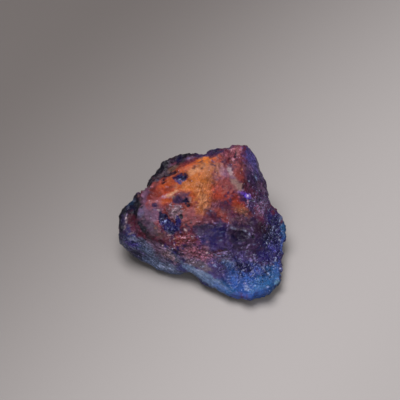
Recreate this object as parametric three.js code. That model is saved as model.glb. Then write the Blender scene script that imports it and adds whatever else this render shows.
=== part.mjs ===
// A rough chunk of afghanite: one broken piece of the mineral, lying on a small flat break.
// Millimetres, +Z up. The origin is on the surface it rests on, under the middle of its outline.
// The chunk's blunt translucent tip points to -Y and +X, its dark lower ledge to -X.

import * as THREE from "three";
import { ConvexHull } from "three/addons/math/ConvexHull.js";
import { ImprovedNoise } from "three/addons/math/ImprovedNoise.js";

// Mesh fineness: the size of the cells that the surface is drawn through, and how often the cells' values
// are averaged with their neighbours', so that no cell holds two sheets of the surface.
// Then come rounds of evening out, in which a point goes this share of the way to its neighbours' middle.
const CELL = 0.43;
const AVERAGING_ROUNDS = 2;
const EVENING_ROUNDS = 14;
const EVENING_SHARE = 0.6;

// The small flat break underneath is this far above the lowest corners of the forms below.
// Points that come this close to its level lie in it.
const REST_LEVEL = 0.2;
const LEVEL_SNAP = 0.08;

// How softly the breaks of one form meet, and how softly two forms grow together.
const EDGE_ROUNDING = 0.06;
const CREASE_ROUNDING = 0.2;

// How far a point of the rough surface is pulled towards its neighbours' middle.
const SPIKE_WEAR = 0.4;

// The rounding above takes this much off the surface, so it is given back.
const SKIN = 0.09;

// A box round the whole chunk, in cells each way from the origin and up from below the flat break.
const REACH = { x: 22, y: 21, up: 23, down: 3 };

// The forms the chunk is made of, each the hull of the corners where its breaks meet.
const FORMS = {
  crown: [
    // the ridge behind the glowing top face, from its peak to the left
    [0.9, 4.4, 8.2],
    [-1.2, 3.4, 8.4],
    [-3.0, 2.9, 7.8],
    [-5.1, 2.0, 6.6],
    // the left rim
    [-6.0, 0.5, 5.7],
    [-6.3, -0.6, 5.1],
    [-5.6, -1.7, 4.4],
    [-4.3, -2.9, 3.5],
    // the edge above the front break
    [-2.4, -3.9, 2.5],
    [-0.7, -4.5, 1.9],
    // the swelling middle of the top face
    [-0.2, -1.2, 5.2],
    [2.3, 1.9, 7.4],
    [2.8, -3.6, 3.4],
    [5.2, -3.8, 2.6],
    [6.2, -1.4, 3.8],
    // the ridge down the right of the top face
    [4.1, 7.2, 7.4],
    [4.6, 5.0, 7.2],
    [5.0, 3.7, 6.5],
    [5.3, 2.4, 5.9],
    // the smooth break that falls away to the right of it
    [2.3, 6.5, 7.2],
    [5.2, 6.9, 6.1],
    [5.9, 5.8, 5.4],
    [6.3, 4.1, 4.6],
    [6.6, 2.8, 4.0],
    // low down, all round
    [-5.4, -1.0, 1.1],
    [-4.8, 3.0, 1.2],
    [-1.6, 5.6, 1.3],
    [3.6, 6.4, 1.2],
    [6.3, 4.0, 1.1],
    [6.9, -2.0, 0.9],
    [-1.6, -3.9, 0.8],
  ],
  tip: [
    [-0.7, -4.4, 1.9],
    [0.5, -5.4, 1.6],
    [2.2, -6.5, 1.4],
    [3.4, -7.3, 1.0],
    [4.3, -7.6, 0.8],
    [6.4, -7.0, 0.8],
    [8.0, -5.9, 0.9],
    [8.3, -4.5, 1.1],
    [7.9, -2.6, 1.2],
    [5.7, -5.4, 2.0],
    [3.1, -4.8, 3.0],
    [0.0, -2.6, 3.4],
    [6.0, -1.2, 3.2],
    [0.5, -5.4, 0.9],
    [2.3, -6.5, 0.9],
    [3.5, -7.2, 0.8],
    [6.8, -5.4, 0.9],
    [7.2, -2.4, 1.1],
    [-1.0, -3.4, 0.9],
    [4.4, -4.2, 0.5],
  ],
  bulge: [
    [7.9, 1.7, 3.5],
    [8.4, 0.7, 2.7],
    [8.7, 0.1, 2.0],
    [8.3, -1.1, 1.5],
    [7.8, -2.5, 1.5],
    [5.6, 2.6, 4.2],
    [4.6, -1.8, 4.2],
    [7.2, 1.8, 1.5],
    [7.6, -1.2, 1.2],
    [4.0, 2.0, 0.7],
    [4.0, -3.0, 0.6],
  ],
  ledge: [
    [-6.5, 3.2, 4.3],
    [-7.4, 2.4, 3.7],
    [-8.1, 1.3, 3.2],
    [-8.4, -0.1, 2.8],
    [-8.0, -1.3, 2.1],
    [-7.2, -1.8, 1.2],
    [-6.5, -2.2, 0.9],
    [-5.2, -3.1, 0.7],
    [-3.7, -3.7, 0.6],
    [-2.1, -4.1, 0.7],
    [-5.6, -2.4, 3.4],
    [-3.6, -3.6, 2.6],
    [-1.3, -4.3, 1.5],
    [-3.0, -1.0, 3.6],
    [-6.6, 2.6, 1.7],
    [-4.0, 3.6, 3.4],
    [-5.4, 2.2, 1.2],
    [-2.0, 1.5, 0.6],
  ],
  back: [
    [-5.3, 4.1, 5.0],
    [-4.5, 4.9, 5.2],
    [-4.1, 5.6, 5.6],
    [-2.9, 5.9, 6.2],
    [-1.7, 5.9, 6.8],
    [-0.6, 5.8, 7.1],
    [0.4, 5.4, 7.3],
    [2.4, 6.5, 7.0],
    [-4.4, 6.4, 3.2],
    [-1.0, 7.4, 3.6],
    [2.6, 8.0, 3.6],
    [5.4, 7.2, 3.4],
    [5.9, 5.2, 4.4],
    [-3.6, 5.6, 1.6],
    [0.4, 6.6, 1.4],
    [4.4, 6.8, 1.4],
    [-3.4, 1.5, 6.4],
    [3.0, 2.0, 6.6],
    [0.0, 0.0, 0.6],
  ],
  underside: [
    [-2.6, -1.2, 0.0],
    [-2.4, 2.2, 0.0],
    [-0.2, 4.0, 0.0],
    [2.8, 3.8, 0.0],
    [4.2, 1.2, 0.0],
    [4.4, -2.4, 0.0],
    [2.8, -3.4, 0.0],
    [0.4, -2.2, 0.0],
    [-6.2, -1.6, 1.6],
    [-5.4, 3.2, 2.0],
    [0.0, 6.6, 2.2],
    [5.8, 5.4, 2.2],
    [7.4, -1.2, 1.6],
    [4.6, -6.2, 1.2],
  ],
};

// Bowl-shaped bites where splinters have come away.
const BITES = [
  // the notch between the ledge and the crown
  { at: [-8.9, 4.1, 7.3], radius: 2.9 },
  // the saddle behind the peak
  { at: [0.6, 9.0, 11.6], radius: 5.0 },
  // the hollow under the right shoulder
  { at: [10.1, 3.8, 6.9], radius: 3.4 },
  // the undercut of the front break
  { at: [-1.0, -6.6, -1.1], radius: 2.4 },
  // the breaks low on the left, across the back and behind the right shoulder
  { at: [-9.6, 4.6, -1.2], radius: 4.2 },
  { at: [-2.6, 13.2, 2.4], radius: 6.4 },
  { at: [10.8, 9.2, 2.6], radius: 5.0 },
];

// Shallow pits where dark grains have weathered out of the top face.
const PITS = [
  { at: [-2.1, 1.9, 7.6], radius: 0.9, depth: 0.24 },
  { at: [-2.2, -0.1, 6.5], radius: 1.0, depth: 0.28 },
  { at: [-3.4, -1.9, 5.3], radius: 1.3, depth: 0.4 },
  { at: [-4.6, -0.4, 5.8], radius: 0.7, depth: 0.18 },
];

// The stepped break low on the right of the top face: where it is, which way its steps climb, their size,
// the share of each step that its worn riser takes, and how the steps waver, in steps.
const STEPS = {
  at: [3.6, -2.6, 3.6],
  radius: 4.2,
  climb: new THREE.Vector3(-0.35, 0.9, 0.25).normalize(),
  spacing: 1.25,
  height: 0.22,
  riser: 0.34,
  waver: { height: 0.35, size: 2.0, seed: 5 },
};

// The gentle swells that run over all breaks: how high, how far across, and which pattern of noise.
const SWELLS = [
  { height: 0.2, size: 2.6, seed: 11 },
  { height: 0.08, size: 1.5, seed: 37 },
];

// The break that falls away right of the top face is smooth; this share of the roughness stays in its middle.
const SMOOTH_BREAK = { at: [5.7, 4.6, 5.6], radius: 3.4, keep: 0.25 };

// Flat-faced grains of the break: size across, and how steeply their faces lean.
const GRAINS = [
  { size: 2.9, lean: 0.16, seed: 3 },
  { size: 1.9, lean: 0.15, seed: 8 },
];

// How wide the strip is in which two grains run into each other, as a share of the squared grain size.
const GRAIN_BLEND = 0.05;

const noise = new ImprovedNoise();

// Smooth noise as high and low as the given height, with lumps of the given size, each seed its own pattern.
function lumps(p, { height, size, seed }) {
  return height * noise.noise(p.x / size + seed, p.y / size + 2 * seed, p.z / size - seed);
}

// A number from 0 to 1 that is always the same for the same cell and seed.
function cellValue(i, j, k, seed) {
  const mixed = Math.sin(i * 127.1 + j * 311.7 + k * 74.7 + seed * 53.3) * 43758.5453;
  return mixed - Math.floor(mixed);
}

// Height of a surface of flat grains: the tilted plane of the nearest grain centre,
// which runs into the next grain's plane over a narrow strip.
function grainHeight(p, { size, lean, seed }) {
  const [ci, cj, ck] = [p.x, p.y, p.z].map((v) => Math.floor(v / size));
  let weights = 0;
  let sum = 0;
  for (let i = ci - 1; i <= ci + 1; i++)
    for (let j = cj - 1; j <= cj + 1; j++)
      for (let k = ck - 1; k <= ck + 1; k++) {
        const [dx, dy, dz] = [0, 1, 2].map((axis) => {
          const cell = [i, j, k][axis];
          return [p.x, p.y, p.z][axis] - (cell + cellValue(i, j, k, seed + axis)) * size;
        });
        const weight = Math.exp(-(dx * dx + dy * dy + dz * dz) / (GRAIN_BLEND * size * size));
        const [gx, gy, gz] = [3, 4, 5].map((n) => 2 * cellValue(i, j, k, seed + n) - 1);
        sum += weight * lean * (gx * dx + gy * dy + gz * dz);
        weights += weight;
      }
  return sum / weights;
}

// 1 at a place, falling smoothly to 0 at the given radius from it.
function near(p, at, radius) {
  const away = Math.hypot(p.x - at[0], p.y - at[1], p.z - at[2]) / radius;
  return away < 1 ? (1 - away * away) ** 2 : 0;
}

// The largest of several values, rounded where two of them are nearly equal.
function softMax(values, softness) {
  const top = Math.max(...values);
  const sum = values.reduce((total, v) => total + Math.exp((v - top) / softness), 0);
  return top + softness * Math.log(sum);
}

function softMin(values, softness) {
  return -softMax(values.map((v) => -v), softness);
}

// A form's breaks as planes. Hull faces that lie almost in one plane count once.
function breaksOf(corners) {
  const hull = new ConvexHull().setFromPoints(corners.map((c) => new THREE.Vector3(...c)));
  const planes = [];
  for (const { normal, constant } of hull.faces) {
    const alike = planes.some((q) => q.normal.dot(normal) > 0.9995 && Math.abs(q.constant - constant) < 0.05);
    if (!alike) planes.push({ normal: normal.clone(), constant });
  }
  return planes;
}

const forms = Object.values(FORMS).map(breaksOf);

// Signed distance from the chunk's main breaks, bites and flat underside, less than 0 inside.
function plainDistance(p) {
  const body = softMin(
    forms.map((planes) => softMax(planes.map((q) => q.normal.dot(p) - q.constant), EDGE_ROUNDING)),
    CREASE_ROUNDING,
  );
  const bites = BITES.map(({ at, radius }) => radius - Math.hypot(p.x - at[0], p.y - at[1], p.z - at[2]));
  return Math.max(softMax([body, ...bites], CREASE_ROUNDING) - SKIN, REST_LEVEL - p.z);
}

// Steps like a stair worn at its edges, running across the stepped break.
function stepHeight(p) {
  const share = near(p, STEPS.at, STEPS.radius);
  if (share === 0) return 0;
  const climb = p.dot(STEPS.climb) / STEPS.spacing + lumps(p, STEPS.waver);
  const saw = climb - Math.floor(climb);
  const tread = 1 - STEPS.riser;
  const rise = saw < tread ? saw / tread : (1 - saw) / STEPS.riser;
  return STEPS.height * Math.min(1, 3 * share) * (rise - 0.5);
}

// Everything that roughens the main breaks, in millimetres; positive is cut away.
function roughness(p) {
  const swell = SWELLS.reduce((sum, s) => sum + lumps(p, s), 0);
  const grains = GRAINS.reduce((sum, g) => sum + grainHeight(p, g), 0);
  const pits = PITS.reduce((sum, pit) => sum + pit.depth * near(p, pit.at, pit.radius), 0);
  if (p.z < REST_LEVEL + LEVEL_SNAP) return 0;
  const kept = 1 - (1 - SMOOTH_BREAK.keep) * near(p, SMOOTH_BREAK.at, SMOOTH_BREAK.radius);
  return kept * (swell + grains) + pits + stepHeight(p);
}

// The plain form's outward direction at a point, from small steps along each axis.
function outward(p) {
  const reach = 0.05;
  const slope = ["x", "y", "z"].map((axis) => {
    const ahead = p.clone();
    const behind = p.clone();
    ahead[axis] += reach;
    behind[axis] -= reach;
    return plainDistance(ahead) - plainDistance(behind);
  });
  return new THREE.Vector3(...slope).normalize();
}

// The twelve edges of a cell, each from one corner to another.
const cellEdges = [0, 1, 2].flatMap((axis) =>
  [0, 1].flatMap((u) =>
    [0, 1].map((v) => {
      const from = [0, 0, 0];
      from[(axis + 1) % 3] = u;
      from[(axis + 2) % 3] = v;
      const to = [...from];
      to[axis] = 1;
      return [from, to];
    }),
  ),
);

// Pulls a point that is near the plain surface onto it.
function ontoSurface(p) {
  for (let i = 0; i < 2; i++) p.addScaledVector(outward(p), -plainDistance(p));
  return p;
}

// The points that share a side of a mesh with each point.
function neighboursOf(meshes, count) {
  const neighbours = Array.from({ length: count }, () => new Set());
  for (const [a, b, c, d] of meshes) {
    neighbours[a].add(b).add(d);
    neighbours[b].add(a).add(c);
    neighbours[c].add(b).add(d);
    neighbours[d].add(a).add(c);
  }
  return neighbours.map((set) => [...set]);
}

// A four-sided mesh as two faces, split along its shorter diagonal.
function split([a, b, c, d], points) {
  const alongAC = points[a].distanceTo(points[c]) < points[b].distanceTo(points[d]);
  return alongAC ? [a, b, c, a, c, d] : [a, b, d, b, c, d];
}

// Each point moves partway to the middle of its neighbours and back onto the plain surface, again and again.
function evenedOut(points, neighbours) {
  let current = points.map((p) => ontoSurface(p.clone()));
  for (let round = 0; round < EVENING_ROUNDS; round++) {
    current = current.map((p, i) => {
      const middle = new THREE.Vector3();
      for (const n of neighbours[i]) middle.add(current[n]);
      middle.divideScalar(neighbours[i].length);
      return ontoSurface(p.clone().lerp(middle, EVENING_SHARE));
    });
  }
  return current;
}

// Each point moves along the plain form's outward direction by its roughness, and sharp spikes are worn down.
function roughened(points, neighbours) {
  const rough = points.map((p) => p.clone().addScaledVector(outward(p), -roughness(p)));
  return rough.map((p, i) => {
    const middle = new THREE.Vector3();
    for (const n of neighbours[i]) middle.add(rough[n]);
    return p.clone().lerp(middle.divideScalar(neighbours[i].length), SPIKE_WEAR);
  });
}

// The plain form's surface as a net: one point in each cell that the surface passes through,
// and one four-sided mesh round each cell edge that it crosses.
function surfaceNet() {
  const low = [-REACH.x, -REACH.y, -REACH.down];
  const size = [2 * REACH.x + 1, 2 * REACH.y + 1, REACH.up + REACH.down + 1];
  const strides = [1, size[0], size[0] * size[1]];
  const corner = (c) => new THREE.Vector3(...c.map((v, axis) => (low[axis] + v) * CELL));
  const number = (c) => c[0] * strides[0] + c[1] * strides[1] + c[2] * strides[2];
  let values = new Float64Array(size[0] * size[1] * size[2]);
  const cells = [];
  for (let k = 0; k < size[2]; k++)
    for (let j = 0; j < size[1]; j++)
      for (let i = 0; i < size[0]; i++) {
        cells.push([i, j, k]);
        values[number([i, j, k])] = plainDistance(corner([i, j, k]));
      }
  for (let round = 0; round < AVERAGING_ROUNDS; round++)
    values = values.map((value, n, all) => {
      const around = strides.flatMap((stride) => [all[n - stride] ?? value, all[n + stride] ?? value]);
      return around.reduce((sum, v) => sum + v, value) / (around.length + 1);
    });
  const inner = cells.filter((c) => c.every((v, axis) => v < size[axis] - 1));
  const points = [];
  const pointOf = new Map();
  for (const cell of inner) {
    const crossings = cellEdges.flatMap(([from, to]) => {
      const [a, b] = [from, to].map((offset) => cell.map((v, axis) => v + offset[axis]));
      const [va, vb] = [values[number(a)], values[number(b)]];
      return va < 0 === vb < 0 ? [] : [corner(a).lerp(corner(b), va / (va - vb))];
    });
    if (crossings.length === 0) continue;
    const middle = crossings.reduce((sum, p) => sum.add(p), new THREE.Vector3());
    pointOf.set(number(cell), points.push(middle.divideScalar(crossings.length)) - 1);
  }
  const meshes = [];
  for (const cell of inner)
    for (const axis of [0, 1, 2]) {
      const here = values[number(cell)];
      const next = values[number(cell) + strides[axis]];
      if (here < 0 === next < 0) continue;
      const [u, v] = [strides[(axis + 1) % 3], strides[(axis + 2) % 3]];
      const ring = [0, u, u + v, v].map((back) => pointOf.get(number(cell) - back));
      meshes.push(here < 0 ? ring : ring.reverse());
    }
  return { points, meshes };
}

function roughChunk() {
  const { points, meshes } = surfaceNet();
  const neighbours = neighboursOf(meshes, points.length);
  const surface = roughened(evenedOut(points, neighbours), neighbours);
  for (const p of surface) if (p.z < REST_LEVEL + LEVEL_SNAP) p.z = REST_LEVEL;
  const geometry = new THREE.BufferGeometry().setFromPoints(surface);
  geometry.setIndex(meshes.flatMap((mesh) => split(mesh, surface)));
  geometry.computeVertexNormals();
  return geometry;
}

// Puts the middle of the outline over the origin, and the flat break at height 0.
function centred(geometry) {
  geometry.computeBoundingBox();
  const middle = geometry.boundingBox.getCenter(new THREE.Vector3());
  return geometry.translate(-middle.x, -middle.y, -geometry.boundingBox.min.z);
}

function chunk() {
  const material = new THREE.MeshStandardMaterial({ color: 0x6a4a5e, roughness: 0.35, metalness: 0 });
  const mesh = new THREE.Mesh(centred(roughChunk()), material);
  mesh.name = "afghanite_chunk";
  return mesh;
}

const part = new THREE.Group();
part.add(chunk());

export default part;
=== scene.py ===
"""A rough chunk of afghanite: its fine broken surface, its colours, the floor, the lights and the camera.

The stone's surface is worked in millimetres in the frame's axes, and goes into the scene in metres.
Places on its visible side are named by where they show in a picture of PICTURE by PICTURE pixels.
"""

import math

import bpy
import numpy as np
from mathutils import Matrix, Vector


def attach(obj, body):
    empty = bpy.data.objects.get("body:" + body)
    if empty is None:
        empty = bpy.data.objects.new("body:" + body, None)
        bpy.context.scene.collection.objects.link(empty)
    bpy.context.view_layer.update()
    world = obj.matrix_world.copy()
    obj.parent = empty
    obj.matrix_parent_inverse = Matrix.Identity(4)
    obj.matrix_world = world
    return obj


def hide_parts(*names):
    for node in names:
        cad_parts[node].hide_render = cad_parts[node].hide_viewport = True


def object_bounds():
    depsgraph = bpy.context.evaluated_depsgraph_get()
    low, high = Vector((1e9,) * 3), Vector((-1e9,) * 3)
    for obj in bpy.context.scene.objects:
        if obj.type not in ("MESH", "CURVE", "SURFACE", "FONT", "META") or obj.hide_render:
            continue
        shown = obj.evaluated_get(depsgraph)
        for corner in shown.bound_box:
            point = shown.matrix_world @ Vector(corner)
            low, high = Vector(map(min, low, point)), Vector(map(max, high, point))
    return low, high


MM = 0.001

# The camera looks down on the stone from the front, a hand's breadth away.
PICTURE = 400
ELEVATION = math.radians(50)
DISTANCE = 120.0
LENS = 108.0
SENSOR = 36.0
LOOK_OFFSET = np.array([-0.2, 3.8, -2.1])

# The fine surface: size of its faces, and how many rounds take off the solid's facets.
FACE_SIZE = 0.086
SOFTEN_ROUNDS = 7

# Lumps that make the edges of patches ragged: size in millimetres and seed, a wide and a fine one across the
# picture and the same down it.
EDGE_LUMPS = ((1.2, 31), (0.45, 35), (1.2, 41), (0.45, 45))

# The stains are chosen as they look on the lit stone; this turns them into the surface's own colour.
STAIN_GAIN = 1.2

# The top face leans this far from level; strokes and fibres lie in it.
TOP_TILT = math.radians(42)

# Stains of the mineral, as red, green and blue from 0 to 255.
PALETTE = {
    "gold": (196, 104, 18),
    "cream": (172, 116, 82),
    "peach": (158, 88, 40),
    "orange": (150, 66, 34),
    "ember": (132, 44, 26),
    "rust": (116, 48, 42),
    "brick": (92, 30, 30),
    "brown": (94, 56, 40),
    "olive": (92, 66, 52),
    "wine": (78, 29, 44),
    "rose": (122, 66, 72),
    "pink": (166, 118, 134),
    "bone": (178, 156, 160),
    "sand": (128, 104, 98),
    "grey": (92, 80, 90),
    "taupe": (62, 48, 56),
    "mauve": (100, 70, 94),
    "lilac": (124, 106, 148),
    "plum": (48, 29, 60),
    "umber": (30, 14, 28),
    "ink": (13, 11, 44),
    "soot": (16, 15, 25),
    "navy": (23, 20, 74),
    "violet": (58, 46, 92),
    "indigo": (58, 60, 132),
    # the violet halo and white core of a painted glint
    "sparkle": (98, 70, 200),
    "spark": (226, 214, 255),
    "royal": (34, 68, 132),
    "cerulean": (36, 82, 132),
    "teal": (20, 62, 98),
    "sea": (88, 122, 148),
    "pale": (132, 148, 188),
    "frost": (176, 188, 222),
    "steel": (78, 94, 124),
    "slate": (62, 66, 86),
}

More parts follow.
